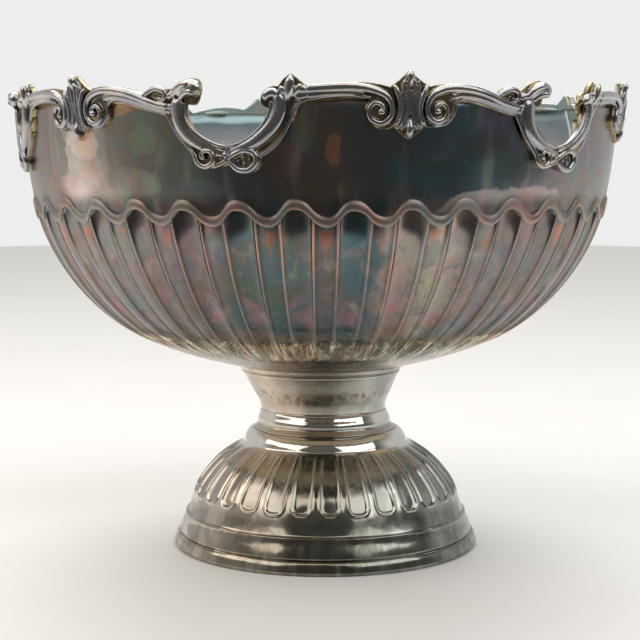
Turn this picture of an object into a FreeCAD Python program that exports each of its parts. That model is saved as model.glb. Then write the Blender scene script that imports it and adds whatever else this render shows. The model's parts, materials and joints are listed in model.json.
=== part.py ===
"""Punch bowl on a pedestal foot: fluted sheet bowl, cast scroll rim with six notches, spun foot.

Millimetres, +Z up. The origin is the centre of the ring that the foot stands on. A leaf of the rim
is centred on -Y. Each piece that comes apart at a solder line or a thread is one solid in one file.
"""
import FreeCAD, Part
import math
import os
from FreeCAD import Vector

os.makedirs("parts", exist_ok=True)

# ---------------------------------------------------------------- driving dimensions
SHEET = 1.4                # thickness of the plated brass sheet
REPEATS = 6                # leaves and notches round the rim
BASE_R = 102.6             # radius of the ring that stands on the table
BASE_BAND_TOP = 8.8        # height of the moulded band round the foot's edge
BASE_BAND_R = 99.2         # radius where the band meets the dome
DOME_TOP = 78.0            # seam between dome and neck
DOME_TOP_R = 48.5
NECK_TOP = 118.0           # seam between neck and bowl collar
NECK_TOP_R = 53.4
WAIST_Z = 90.5
WAIST_R = 42.1
BOWL_FLOOR = 121.5         # underside of the bowl's flat bottom
BOWL_FLOOR_R = 56.0
SHEET_TOP = 293.0          # cut edge of the bowl sheet, under the rim castings
RIM_R = 195.0              # outer radius of the sheet at that edge
CASTING = 6.0              # how far the rim castings stand proud of the sheet
CAST_BOTTOM = 244.0        # just below the castings' lowest scroll
CAST_TOP = 310.0           # just above the leaf tips
CAST_LEAN = 4.4            # how much nearer the axis their face is at CAST_BOTTOM, as the bowl's is
DEVELOP_R = 197.0          # radius on which the rim drawings below are laid out flat
LEAF_START = -58.0         # solder lines of a leaf casting, as arc lengths from the leaf's centre
LEAF_END = 69.0
STUD_D = 8.0
STUD_HOLE_D = 9.0
BOSS_R = 20.0
BOSS_T = 3.0
PLATE_T = 3.0
STUD_END = 74.0
WASHER_D = 24.0
WASHER_T = 1.6
NUT_ACROSS_FLATS = 13.0
NUT_H = 6.5

PITCH = 2 * math.pi * DEVELOP_R / REPEATS


# ---------------------------------------------------------------- helpers
def at(r, z):
    """A point of a turned outline: radius and height, drawn in the XZ plane."""
    return Vector(r, 0, z)


def curve(points):
    """A smooth edge through the points, or a straight one through two."""
    if len(points) == 2:
        return Part.LineSegment(points[0], points[1]).toShape()
    spline = Part.BSplineCurve()
    spline.interpolate(points)
    return spline.toShape()


def face_of(runs):
    """A flat face inside a closed outline, given as runs that each start where the last ends."""
    edges = []
    for index, run in enumerate(runs):
        first_of_next = runs[(index + 1) % len(runs)][0]
        points = list(run)
        if (points[-1] - first_of_next).Length > 1e-6:
            points.append(first_of_next)
        edges.append(curve(points))
    return Part.Face(Part.Wire(Part.__sortEdges__(edges)))


def turned(runs, start_deg=0.0, sweep_deg=360.0):
    """A solid turned about Z from an outline in radius and height."""
    face = face_of(runs)
    face.rotate(Vector(0, 0, 0), Vector(0, 0, 1), start_deg)
    return face.revolve(Vector(0, 0, 0), Vector(0, 0, 1), sweep_deg)


def offset_inward(points, distance):
    """The outline moved square to itself, towards the axis side, by a distance."""
    moved = []
    for index, point in enumerate(points):
        before = points[max(index - 1, 0)]
        after = points[min(index + 1, len(points) - 1)]
        along = after - before
        along.normalize()
        normal = Vector(-along.z, 0, along.x)
        moved.append(point + normal * distance)
    return moved


def cylinder(radius, bottom, top):
    return Part.makeCylinder(radius, top - bottom, Vector(0, 0, bottom))


def unrolled(runs, centre_deg):
    """A radial prism cut out by a drawing made on the unrolled rim.

    Each point is (arc length from the drawing's centre, height). The drawing is wrapped on the
    rim's circle, seen square on from outside, and pushed through the wall.
    """
    wrapped = []
    for run in runs:
        wrapped.append([Vector(DEVELOP_R * math.sin(s / DEVELOP_R), -1.5 * DEVELOP_R, z)
                        for s, z in run])
    prism = face_of(wrapped).extrude(Vector(0, DEVELOP_R, 0))
    prism.rotate(Vector(0, 0, 0), Vector(0, 0, 1), centre_deg)
    return prism


def degrees_of(arc):
    """The angle of an arc length on the unrolled rim."""
    return math.degrees(arc / DEVELOP_R)


def save(name, shape):
    if not shape.isValid() or shape.Volume <= 0:
        raise ValueError(name + " is not a sound solid")
    if len(shape.Solids) != 1:
        raise ValueError(name + " has %d solids" % len(shape.Solids))
    solid = shape.Solids[0]
    solid.exportStep("parts/" + name + ".step")
    box = solid.BoundBox
    print("%-20s %9.0f mm3  z %6.1f to %6.1f  x %7.1f to %6.1f"
          % (name, solid.Volume, box.ZMin, box.ZMax, box.XMin, box.XMax))


# ---------------------------------------------------------------- bowl
# Outer face of the bowl from the edge of its flat bottom to its cut edge.
BOWL_OUTER = [at(BOWL_FLOOR_R, BOWL_FLOOR), at(88.0, 129.8), at(118.5, 141.5), at(145.8, 160.0),
              at(167.0, 184.0), at(182.8, 214.0), at(190.6, 246.0), at(193.5, 270.0),
              at(RIM_R, SHEET_TOP)]
BOWL_INNER = offset_inward(BOWL_OUTER, SHEET)
BOWL_INNER[0] = at(BOWL_FLOOR_R, BOWL_FLOOR + SHEET)
BOWL_INNER[-1] = at(RIM_R - SHEET, SHEET_TOP)

# The gap cut in the sheet at each notch, hidden behind the notch casting's scrolls.
SHEET_NOTCH = [
    [(-25.0, CAST_TOP), (-25.5, 281.0)],
    [(-25.5, 281.0), (-17.0, 268.5), (0.0, 260.8), (15.5, 265.0), (25.0, 275.5), (28.5, 287.0)],
    [(28.5, 287.0), (28.5, CAST_TOP)],
    [(28.5, CAST_TOP), (-25.0, CAST_TOP)],
]


def bowl_shell():
    shell = turned([
        BOWL_OUTER,
        [BOWL_OUTER[-1], BOWL_INNER[-1]],
        list(reversed(BOWL_INNER)),
        [BOWL_INNER[0], at(0, BOWL_FLOOR + SHEET)],
        [at(0, BOWL_FLOOR + SHEET), at(0, BOWL_FLOOR)],
        [at(0, BOWL_FLOOR), BOWL_OUTER[0]],
    ])
    for k in range(REPEATS):
        centre = (k + 0.5) * 360.0 / REPEATS
        shell = shell.cut(unrolled(SHEET_NOTCH, centre))
    return shell


def bowl_collar_ring():
    """The small stepped ring that joins the bowl's flat bottom to the neck."""
    wall = 4.0
    return turned([
        [at(NECK_TOP_R, NECK_TOP), at(NECK_TOP_R + 1.4, NECK_TOP + 1.0),
         at(BOWL_FLOOR_R - 0.5, BOWL_FLOOR)],
        [at(BOWL_FLOOR_R - 0.5, BOWL_FLOOR), at(NECK_TOP_R - wall, BOWL_FLOOR)],
        [at(NECK_TOP_R - wall, BOWL_FLOOR), at(NECK_TOP_R - wall, NECK_TOP)],
        [at(NECK_TOP_R - wall, NECK_TOP), at(NECK_TOP_R, NECK_TOP)],
    ])


# ---------------------------------------------------------------- rim castings
# Drawings on the unrolled rim, seen from outside: arc length to the right, height up.
# A leaf casting: two arches, a leaf with a pointed tip, and a C-scroll curled on each side of it.
LEAF_DRAWING = [
    [(-66.0, 297.0), (-46.0, 298.8), (-32.0, 299.5), (-12.0, 297.0)],
    [(-12.0, 297.0), (-6.5, 301.0), (-1.0, 306.0)],
    [(-1.0, 306.0), (5.0, 301.0), (11.0, 297.5)],
    [(11.0, 297.5), (27.0, 299.0), (42.0, 297.0), (54.0, 293.8)],
    [(54.0, 293.8), (62.0, 298.0), (70.0, 296.0), (76.0, 294.0)],
    [(76.0, 294.0), (76.0, 281.5)],
    [(76.0, 281.5), (55.0, 284.5), (37.0, 288.5), (26.0, 289.0)],
    [(26.0, 289.0), (27.0, 282.5), (18.0, 276.0), (8.0, 275.5)],
    [(8.0, 275.5), (3.5, 271.5), (-1.0, 268.0)],
    [(-1.0, 268.0), (-5.5, 271.5), (-10.0, 275.5)],
    [(-10.0, 275.5), (-20.0, 275.2), (-26.0, 283.0), (-23.0, 290.0)],
    [(-23.0, 290.0), (-45.0, 290.5), (-66.0, 288.0)],
    [(-66.0, 288.0), (-66.0, 297.0)],
]

# A notch casting: a knob scroll, a U of two legs with a scroll under each, a hook and a pointed leaf.
NOTCH_DRAWING = [
    [(-42.0, 293.0), (-31.0, 297.5), (-21.0, 302.0), (-11.5, 299.0), (-12.0, 292.5), (-22.5, 288.0)],
    [(-22.5, 288.0), (-21.5, 279.0), (-13.5, 269.5), (0.0, 263.5), (13.0, 267.5), (22.0, 277.0),
     (25.0, 285.0)],
    [(25.0, 285.0), (20.0, 290.0), (23.0, 295.5), (30.0, 297.0)],
    [(30.0, 297.0), (33.0, 301.0), (37.0, 304.0)],
    [(37.0, 304.0), (41.5, 300.5), (46.0, 297.5), (53.0, 297.5)],
    [(53.0, 297.5), (53.0, 288.0)],
    [(53.0, 288.0), (43.0, 288.0)],
    [(43.0, 288.0), (38.5, 279.5), (30.5, 266.5), (20.0, 258.5)],
    [(20.0, 258.5), (17.5, 252.0), (10.0, 250.0), (2.0, 254.5)],
    [(2.0, 254.5), (-8.0, 253.0), (-17.0, 255.0), (-19.0, 262.0)],
    [(-19.0, 262.0), (-27.5, 271.5), (-33.0, 280.5), (-42.0, 283.0)],
    [(-42.0, 283.0), (-42.0, 293.0)],
]


def rim_band(start_arc, end_arc):
    """The raw ring segment that a casting is cut from: it lies on the sheet and caps its edge."""
    start = degrees_of(start_arc) - 90.0
    sweep = degrees_of(end_arc - start_arc)
    floor = BOWL_OUTER[0]
    widest = RIM_R + CASTING
    return turned([
        BOWL_OUTER,
        [BOWL_OUTER[-1], at(RIM_R - SHEET, SHEET_TOP)],
        [at(RIM_R - SHEET, SHEET_TOP), at(RIM_R - SHEET, CAST_TOP)],
        [at(RIM_R - SHEET, CAST_TOP), at(widest, CAST_TOP)],
        [at(widest, CAST_TOP), at(widest, SHEET_TOP), at(widest - CAST_LEAN, CAST_BOTTOM)],
        [at(widest - CAST_LEAN, CAST_BOTTOM), at(widest - CAST_LEAN, floor.z)],
        [at(widest - CAST_LEAN, floor.z), floor],
    ], start, sweep)


def rim_casting(drawing, centre_arc, start_arc, end_arc, index):
    """One casting, cut from its band by its drawing and turned to its place on the rim."""
    prism = unrolled(drawing, degrees_of(centre_arc))
    casting = rim_band(start_arc, end_arc).common(prism)
    casting.rotate(Vector(0, 0, 0), Vector(0, 0, 1), index * 360.0 / REPEATS)
    return casting


# ---------------------------------------------------------------- foot
# Outer face of the neck: flared lip, waist, a round bead and a small hollow down to the seam.
NECK_OUTER = [at(NECK_TOP_R, NECK_TOP), at(51.0, 113.0), at(48.3, 107.0), at(44.4, 100.0),
              at(WAIST_R, WAIST_Z)]
NECK_BEAD = [at(WAIST_R, WAIST_Z), at(43.8, 88.4), at(45.0, 84.0)]
NECK_HOLLOW = [at(45.0, 84.0), at(46.0, 80.8), at(DOME_TOP_R, DOME_TOP)]

# Outer face of the foot: a round shoulder, the domed panels and two plain bands with a step.
SHOULDER = [at(DOME_TOP_R, DOME_TOP), at(52.4, 75.4), at(55.5, 70.0)]
DOME = [at(55.5, 70.0), at(67.9, 62.3), at(80.5, 50.2), at(87.2, 40.0), at(90.0, 31.5)]
DOME_BAND = [at(90.0, 31.5), at(93.6, 22.0)]
STEP_BAND = [at(94.6, 21.4), at(BASE_BAND_R, BASE_BAND_TOP)]


def joined(runs):
    """The points of several runs in one list, with each shared end kept once."""
    points = []
    for run in runs:
        for point in run:
            if not points or (point - points[-1]).Length > 1e-6:
                points.append(point)
    return points


def sheet_between(outer_runs, guide):
    """A turned sheet: the outer runs, and an inner face one thickness inside the guide points."""
    first = guide[0]
    last = guide[-1]
    inner = offset_inward(guide, -SHEET)
    inner[0] = at(first.x - SHEET, first.z)
    inner[-1] = at(last.x - SHEET, last.z)
    runs = [list(run) for run in outer_runs]
    runs.append([last, inner[-1]])
    runs.append(list(reversed(inner)))
    runs.append([inner[0], first])
    return turned(runs)


def foot_neck():
    runs = [NECK_OUTER, NECK_BEAD, NECK_HOLLOW]
    return sheet_between(runs, joined(runs))


def foot_dome():
    """The dome's inside runs straight behind the stepped band, which is only rolled into its face."""
    step = [DOME_BAND[-1], STEP_BAND[0]]
    guide = joined([SHOULDER, DOME]) + [STEP_BAND[-1]]
    return sheet_between([SHOULDER, DOME, DOME_BAND, step, STEP_BAND], guide)


def foot_base_band():
    """The solid moulded band under the foot's edge, rounded outside and flat where it stands."""
    inner = BASE_BAND_R - 3.5
    return turned([
        [at(BASE_BAND_R, BASE_BAND_TOP), at(BASE_R - 1.0, BASE_BAND_TOP - 4.0), at(BASE_R, 1.4)],
        [at(BASE_R, 1.4), at(BASE_R - 1.2, 0)],
        [at(BASE_R - 1.2, 0), at(inner, 0)],
        [at(inner, 0), at(inner, BASE_BAND_TOP)],
        [at(inner, BASE_BAND_TOP), at(BASE_BAND_R, BASE_BAND_TOP)],
    ])


# ---------------------------------------------------------------- fixing inside the foot
PLATE_TOP = WAIST_Z + PLATE_T / 2
PLATE_BOTTOM = PLATE_TOP - PLATE_T


def bowl_boss():
    """The round pad brazed under the bowl, which holds the stud."""
    pad = cylinder(BOSS_R, BOWL_FLOOR - BOSS_T, BOWL_FLOOR)
    return pad.cut(cylinder(STUD_D / 2, BOWL_FLOOR - BOSS_T, BOWL_FLOOR))


def fixing_stud():
    stud = cylinder(STUD_D / 2, STUD_END, BOWL_FLOOR)
    return stud.makeChamfer(1.0, [edge for edge in stud.Edges
                                  if abs(edge.BoundBox.ZMax - STUD_END) < 1e-6])


def neck_plate():
    """The disc soldered across the waist, fitted to the neck's inside, with a clearance hole."""
    disc = cylinder(WAIST_R, PLATE_BOTTOM, PLATE_TOP)
    disc = disc.cut(foot_neck())
    inside = [solid for solid in disc.Solids if solid.BoundBox.XMin < -WAIST_R / 2]
    plate = min(inside, key=lambda solid: -solid.Volume)
    return plate.cut(cylinder(STUD_HOLE_D / 2, PLATE_BOTTOM, PLATE_TOP))


def stud_washer():
    washer = cylinder(WASHER_D / 2, PLATE_BOTTOM - WASHER_T, PLATE_BOTTOM)
    return washer.cut(cylinder(STUD_HOLE_D / 2, PLATE_BOTTOM - WASHER_T, PLATE_BOTTOM))


def stud_nut():
    top = PLATE_BOTTOM - WASHER_T
    corner = NUT_ACROSS_FLATS / 2 / math.cos(math.pi / 6)
    points = [Vector(corner * math.cos(math.pi / 3 * k), corner * math.sin(math.pi / 3 * k),
                     top - NUT_H) for k in range(7)]
    nut = Part.Face(Part.makePolygon(points)).extrude(Vector(0, 0, NUT_H))
    return nut.cut(cylinder(STUD_D / 2, top - NUT_H, top))


# ---------------------------------------------------------------- all the pieces
save("bowl_shell", bowl_shell())
save("bowl_collar_ring", bowl_collar_ring())
for k in range(REPEATS):
    save("rim_leaf_%d" % (k + 1), rim_casting(LEAF_DRAWING, 0.0, LEAF_START, LEAF_END, k))
    save("rim_notch_%d" % (k + 1),
         rim_casting(NOTCH_DRAWING, PITCH / 2, LEAF_END, LEAF_START + PITCH, k))
save("foot_neck", foot_neck())
save("foot_dome", foot_dome())
save("foot_base_band", foot_base_band())
save("bowl_boss", bowl_boss())
save("fixing_stud", fixing_stud())
save("neck_plate", neck_plate())
save("stud_washer", stud_washer())
save("stud_nut", stud_nut())
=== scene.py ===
# %% [markdown]
# # A tarnished silver punch bowl
# The bowl is thin brass sheet, silver plated, with a cast scroll rim soldered on and a spun foot
# bolted under it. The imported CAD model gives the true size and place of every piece. This lesson
# builds the looks round it: the flutes, the cast scrolls and the coloured tarnish.

# %% Load the frame
import json
import math
import bmesh
import bpy
import numpy as np
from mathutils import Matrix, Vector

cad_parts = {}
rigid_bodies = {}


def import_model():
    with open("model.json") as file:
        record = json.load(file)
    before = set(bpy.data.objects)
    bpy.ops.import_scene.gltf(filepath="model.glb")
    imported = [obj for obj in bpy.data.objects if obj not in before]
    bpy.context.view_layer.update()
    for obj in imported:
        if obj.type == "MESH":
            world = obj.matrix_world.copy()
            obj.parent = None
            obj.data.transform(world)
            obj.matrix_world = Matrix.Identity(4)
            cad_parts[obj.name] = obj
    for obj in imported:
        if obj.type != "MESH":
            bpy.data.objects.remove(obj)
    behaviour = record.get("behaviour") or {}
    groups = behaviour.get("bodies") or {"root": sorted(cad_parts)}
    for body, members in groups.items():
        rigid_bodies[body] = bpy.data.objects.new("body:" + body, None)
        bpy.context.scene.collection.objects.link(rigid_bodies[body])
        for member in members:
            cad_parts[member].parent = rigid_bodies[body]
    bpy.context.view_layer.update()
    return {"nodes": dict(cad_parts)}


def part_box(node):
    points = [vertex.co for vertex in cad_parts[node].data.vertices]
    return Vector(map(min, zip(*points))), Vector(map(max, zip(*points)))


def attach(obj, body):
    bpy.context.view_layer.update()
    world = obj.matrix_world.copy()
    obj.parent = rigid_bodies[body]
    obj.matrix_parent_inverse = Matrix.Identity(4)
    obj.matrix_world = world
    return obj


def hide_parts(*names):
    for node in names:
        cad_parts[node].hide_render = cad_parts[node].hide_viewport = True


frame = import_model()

MM = 0.001

# %% [markdown]
# ## Camera
# The bowl is seen from just above its rim with a long lens, so the rim's far side shows a little
# over the near side. The leaf on -Y stands a little to the right of the middle.

# %% Camera
EYE_AZIMUTH = math.radians(-14.7)   # from -Y towards +X
EYE_DISTANCE = 1.057                # metres from the bowl's axis
EYE_HEIGHT = 0.256
EYE_TILT = math.radians(5.72)       # down from level
LENS = 88.5                         # millimetres, on a 36 mm sensor

camera = bpy.data.objects.new("camera", bpy.data.cameras.new("camera"))
camera.data.sensor_width = 36
camera.data.lens = LENS
camera.location = (EYE_DISTANCE * math.sin(EYE_AZIMUTH), -EYE_DISTANCE * math.cos(EYE_AZIMUTH),
                   EYE_HEIGHT)
camera.rotation_euler = (math.pi / 2 - EYE_TILT, 0, EYE_AZIMUTH)
bpy.context.scene.collection.objects.link(camera)
bpy.context.scene.camera = camera
print("camera at", [round(v, 3) for v in camera.location])

# %% [markdown]
# ## Sizes from the frame
# Every height and radius that a seam depends on is read from the CAD nodes, in millimetres, so
# the new pieces meet where the solids meet.

# %% Sizes from the frame
def node_box(node):
    """Lowest and highest corner of a CAD node, in millimetres."""
    low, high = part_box(node)
    return np.array(low) / MM, np.array(high) / MM


def radius_of(node):
    """Largest distance of a CAD node's points from the bowl's axis, in millimetres."""
    return max(math.hypot(v.co.x, v.co.y) for v in frame["nodes"][node].data.vertices) / MM


SHEET = 1.4                                     # thickness of the plated sheet
SHEET_TOP = node_box("bowl_shell")[1][2]        # cut edge of the bowl, under the castings
BOWL_FLOOR = node_box("bowl_shell")[0][2]
NECK_TOP = node_box("foot_neck")[1][2]
DOME_TOP = node_box("foot_dome")[1][2]
BAND_TOP = node_box("foot_base_band")[1][2]
BASE_R = radius_of("foot_base_band")
RIM_R = radius_of("bowl_shell")
REPEATS = sum(name.startswith("rim_leaf") for name in frame["nodes"])
print("rim radius %.1f, base radius %.1f, %d repeats" % (RIM_R, BASE_R, REPEATS))

# %% [markdown]
# ## A smooth turned outline
# A spinner works the sheet over a wooden former, so its section is one flowing line. A natural
# cubic spline through a few points gives that line with no kinks, which matters on polished
# metal, because a reflection shows a kink that the eye can't see on paint.

# %% Outline helper
class Outline:
    """A smooth curve through (radius, height) points, read by the distance along it."""

    def __init__(self, points):
        self.points = np.array(points, float)
        steps = np.linalg.norm(np.diff(self.points, axis=0), axis=1)
        self.knots = np.concatenate([[0.0], np.cumsum(steps)])
        self.length = self.knots[-1]
        self.bend = np.column_stack([self._bends(column) for column in self.points.T])

    def _bends(self, values):
        count = len(values)
        step = np.diff(self.knots)
        matrix = np.eye(count)
        right = np.zeros(count)
        for i in range(1, count - 1):
            matrix[i, i - 1:i + 2] = step[i - 1], 2 * (step[i - 1] + step[i]), step[i]
            slope_in = (values[i] - values[i - 1]) / step[i - 1]
            slope_out = (values[i + 1] - values[i]) / step[i]
            right[i] = 6 * (slope_out - slope_in)
        return np.linalg.solve(matrix, right)

    def at(self, distance):
        """Points, and unit normals to the right of the way along, at the given distances."""
        distance = np.asarray(distance, float)
        i = np.clip(np.searchsorted(self.knots, distance) - 1, 0, len(self.knots) - 2)
        step = (self.knots[i + 1] - self.knots[i])[..., None]
        b = ((distance - self.knots[i])[..., None]) / step
        a = 1 - b
        bend_a, bend_b = self.bend[i], self.bend[i + 1]
        point = (a * self.points[i] + b * self.points[i + 1]
                 + ((a ** 3 - a) * bend_a + (b ** 3 - b) * bend_b) * step ** 2 / 6)
        along = ((self.points[i + 1] - self.points[i]) / step
                 + ((1 - 3 * a ** 2) * bend_a + (3 * b ** 2 - 1) * bend_b) * step / 6)
        along /= np.linalg.norm(along, axis=-1, keepdims=True)
        normal = np.stack([along[..., 1], -along[..., 0]], -1)
        return point, normal

    def distance_at_height(self, height):
        """The distance along an outline that only climbs, where it passes a height."""
        table = np.linspace(0, self.length, 4000)
        return np.interp(height, self.at(table)[0][:, 1], table)


FLOOR_R = 56.0                      # the flat middle of the bowl's floor
WALL_R = 193.5                      # the wall's radius at WALL_TOP, just below the cut edge
WALL_TOP = 270.0

BOWL = Outline([(FLOOR_R, BOWL_FLOOR), (88.0, 129.8), (118.5, 141.5), (145.8, 160.0),
                (167.0, 184.0), (182.8, 214.0), (190.6, 246.0), (WALL_R, WALL_TOP),
                (RIM_R, SHEET_TOP)])
print("bowl outline is %.0f mm long" % BOWL.length)

# %% [markdown]
# ## Mesh helpers
# Turned pieces are rings of points joined into one skin. The skin is closed, so it is a real
# solid with a wall, and its faces are turned outwards by the sign of its volume. The foot stands
# a few millimetres to one side of the bowl, as if it had once been knocked, so its rings lean.

# %% Mesh helpers
def smooth_step(low, high, value):
    t = np.clip((np.asarray(value, float) - low) / (high - low), 0, 1)
    return t * t * (3 - 2 * t)


def turn(radius, height, angle):
    """Points at a radius, height and angle, the angle from -Y towards +X, in millimetres."""
    radius, height, angle = np.broadcast_arrays(radius, height, angle)
    return np.stack([radius * np.sin(angle), -radius * np.cos(angle), height], -1)


LEAN = 3.7                          # how far to one side the foot stands
LEAN_START = 126.0                  # height from which it leans, going down
LEAN_DROP = 58.0                    # how much lower it has moved over by the full amount
LEAN_WAY = np.array([math.cos(EYE_AZIMUTH), math.sin(EYE_AZIMUTH), 0])


def leaning(points):
    """Foot points moved sideways: a little at the collar and fully from the dome's panels down."""
    share = np.clip((LEAN_START - points[..., 2:]) / LEAN_DROP, 0, 1)
    return points + LEAN * share * LEAN_WAY


def as_object(name, points, faces, relief=None):
    """A smooth-shaded object in metres from points in millimetres."""
    mesh = bpy.data.meshes.new(name)
    mesh.from_pydata((np.asarray(points) * MM).tolist(), [], faces)
    if relief is not None:
        mesh.attributes.new("relief", "FLOAT", "POINT").data.foreach_set("value", relief)
    work = bmesh.new()
    work.from_mesh(mesh)
    if work.calc_volume(signed=True) < 0:
        bmesh.ops.reverse_faces(work, faces=work.faces)
    work.to_mesh(mesh)
    work.free()
    mesh.shade_smooth()
    piece = bpy.data.objects.new(name, mesh)
    bpy.context.scene.collection.objects.link(piece)
    return piece


def ring_faces(rows, columns, closed):
    """Quads that join each ring of points to the next, and the last to the first if closed."""
    faces = []
    for row in range(rows if closed else rows - 1):
        here = row * columns
        there = ((row + 1) % rows) * columns
        for k in range(columns):
            after = (k + 1) % columns
            faces.append((here + k, here + after, there + after, there + k))
    return faces


def skin(name, rings, closed=True, relief=None):
    """One closed skin over rings of points. An open stack is closed with a fan at each end."""
    rows, columns = rings.shape[:2]
    points = rings.reshape(-1, 3)
    faces = ring_faces(rows, columns, closed)
    heights = None if relief is None else np.asarray(relief, float).reshape(-1)
    if not closed:
        for row in (0, rows - 1):
            centre = len(points)
            points = np.vstack([points, rings[row].mean(axis=0)])
            if heights is not None:
                heights = np.append(heights, heights[row * columns])
            start = row * columns
            for k in range(columns):
                a, b = start + k, start + (k + 1) % columns
                faces.append((b, a, centre) if row == 0 else (a, b, centre))
    piece = as_object(name, points, faces, heights)
    print("%-18s %7d points" % (name, len(points)))
    return piece


def put(piece, slot, *nodes):
    """Rides a piece on the one body and hides the CAD solids it stands for. Its slot is not used."""
    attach(piece, "root")
    if nodes:
        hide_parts(*nodes)


print("the foot leans %.1f mm, all of it below %.0f mm" % (LEAN, LEAN_START - LEAN_DROP))

# %% [markdown]
# ## The fluted bowl
# The flutes are pressed into the lower bowl from outside: wide hollow panels with round arched
# tops, and narrower convex ribs between them. Each edge is a thin raised ridge. Above them the
# plain wall swells into a soft lip that follows the arches and hangs over the flutes, which
# throws a shadow under each arch; that dark shadow is also painted into the finish. One sheet
# makes it all, so the inside shows the same pattern, softened. The columns of the mesh crowd
# where the ridges are, and its rows follow the wavy edge, so both stay crisp.

# %% Flutes
FLUTES = 36
FLUTE_TURN = math.radians(1.3)     # from the leaf on -Y to the next panel's middle
RIDGE = 0.27                        # half width of a panel, as a part of the spacing
FLUTE_DEPTH = 2.7
EDGE_HEIGHT = 225.6                 # middle height of the wavy edge
EDGE_WAVE = 4.7
FADE_HEIGHT = 139.0                 # where the flutes have run out
LIP = 1.8                           # how far the lip swells

half_period = [0.0, 0.09, 0.165, 0.21, 0.238, 0.257, RIDGE + 0.008, 0.290, 0.312, 0.345, 0.42]
one_period = np.array([-0.5] + [-f for f in reversed(half_period[1:])] + half_period)
column_turns = np.concatenate([k + one_period for k in range(FLUTES)])
bowl_angle = column_turns * 2 * math.pi / FLUTES + FLUTE_TURN
phase = column_turns - np.round(column_turns)
flute_number = np.round(column_turns).astype(int) % FLUTES

chaser = np.random.default_rng(7)   # the small unevenness of handwork, one draw per flute
peak_jitter = chaser.normal(0, 0.45, FLUTES)
deep_jitter = chaser.normal(1, 0.07, FLUTES)


def flute_section(phase):
    """Height of the surface across one flute, as a part of the depth: panel, ridge, rib."""
    across = np.abs(phase)
    panel = -(1 - np.clip(across / RIDGE, 0, 1) ** 2.4)
    rib = 0.14 * np.sin(np.clip((across - RIDGE) / (0.5 - RIDGE), 0, 1) * math.pi / 2)
    ridge = 0.34 * np.exp(-((across - RIDGE - 0.006) / 0.022) ** 2)
    valley = -0.16 * np.exp(-((across - RIDGE - 0.060) / 0.028) ** 2)
    return np.where(across < RIDGE, panel, rib) + ridge + valley


wave = np.cos(phase * 2 * math.pi)
wave = wave * (1.3 - 0.3 * wave ** 2) - 0.07 * np.sin(phase * 4 * math.pi)
edge_height = (EDGE_HEIGHT + EDGE_WAVE * wave
               + peak_jitter[flute_number] * np.cos(phase * math.pi) ** 2)
edge_distance = BOWL.distance_at_height(edge_height)
fade_distance = BOWL.distance_at_height(FADE_HEIGHT)
section = flute_section(phase) * deep_jitter[flute_number]
print("%d columns, flutes from %.0f to %.0f mm up" % (len(bowl_angle), FADE_HEIGHT, EDGE_HEIGHT))

# %% [markdown]
# The cut edge of the sheet dips into each of the six notches. It stays behind the castings, so
# only a plain sheet edge shows from inside.

# %% Sheet edge
DEVELOP_R = 197.0                   # radius on which the rim is drawn out flat
PITCH = 2 * math.pi * DEVELOP_R / REPEATS
NOTCH_EDGE = [(-31, 0), (-26.5, -9), (-23, -17), (-17, -24.5), (-8, -30), (0, -32), (9, -30.5),
              (16, -28), (25, -17.5), (29, -8), (33, 0)]

arc = (bowl_angle * DEVELOP_R) % PITCH - PITCH / 2
dip_at, dip = np.array(NOTCH_EDGE, float).T
sheet_edge = SHEET_TOP + np.interp(arc, dip_at, dip)
print("the cut edge dips %.0f mm in %d notches" % (-dip.min(), REPEATS))

# %% [markdown]
# A subdivided cylinder with a displacement would blur the ridges. Here each ring is placed one
# by one instead: its distance up the outline follows the wavy edge, and its push in or out comes
# from the flute's section. The same function makes both faces of the sheet. It also keeps three
# numbers on each point, its relief, its place on the lip and how much painted shadow it gets
# just under the arches, for the finish.

# %% Bowl rings
def bowl_ring(distance, push):
    """A ring of the bowl at distances along its outline, pushed out square to the surface."""
    distance = np.broadcast_to(distance, bowl_angle.shape)
    point, normal = BOWL.at(distance)
    moved = point + normal * np.broadcast_to(push, bowl_angle.shape)[:, None]
    return turn(moved[:, 0], moved[:, 1], bowl_angle)


def bowl_side(inset, soften):
    """Rings up one face of the bowl, with each ring's relief, lip and painted arch shadow for the
    finish.
    """
    rings = []
    marks = []

    def add(distance, push, lip=0.0, shelter=0.0):
        rings.append(bowl_ring(distance, push - inset))
        marks.append(np.array([np.broadcast_to(mark, bowl_angle.shape)
                               for mark in (push, lip, shelter)]))

    for part in np.linspace(0, 1, 8)[:-1]:
        add(part * fade_distance, 0.0)
    below = 1 - np.linspace(1, 0, 30) ** 1.4
    for part in below:
        distance = fade_distance + part * (edge_distance - fade_distance)
        narrowing = np.interp(part, [0, 1], [0.55, 1.0])
        depth = FLUTE_DEPTH * narrowing * smooth_step(-0.02, 0.12, part) * soften
        pocket = 1 + 0.35 * smooth_step(0.88, 0.99, part)
        # Painted shadow: how much the hollow panels darken in the last few millimetres under each
        # arch.
        painted_arch_shadow_share = smooth_step(5.0, 0.3, (1 - part) * (edge_distance - fade_distance))
        add(distance, section * depth * np.where(section < 0, pocket, 1),
            shelter=painted_arch_shadow_share * smooth_step(-0.35, -0.95, section))
    lip_steps = [(-0.3, 0.20), (-0.7, 0.55), (-0.5, 0.84), (0.3, 1.0), (1.6, 1.0), (2.9, 0.90),
                 (4.1, 0.64), (5.0, 0.31), (5.9, 0.09), (7.4, 0.0)]
    under = section * FLUTE_DEPTH * soften * np.where(section < 0, 1.35, 1)
    for climb, swell in lip_steps:
        blend = smooth_step(0, 0.9, swell) if climb < 1 else 1.0
        add(edge_distance + climb, under * (1 - blend) * 0.8 + LIP * swell * soften, lip=swell)
    top = BOWL.distance_at_height(sheet_edge)
    base = edge_distance + lip_steps[-1][0]
    for part in np.linspace(0, 1, 9)[1:]:
        add(base + part * (top - base), 0.0)
    return rings, marks


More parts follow.
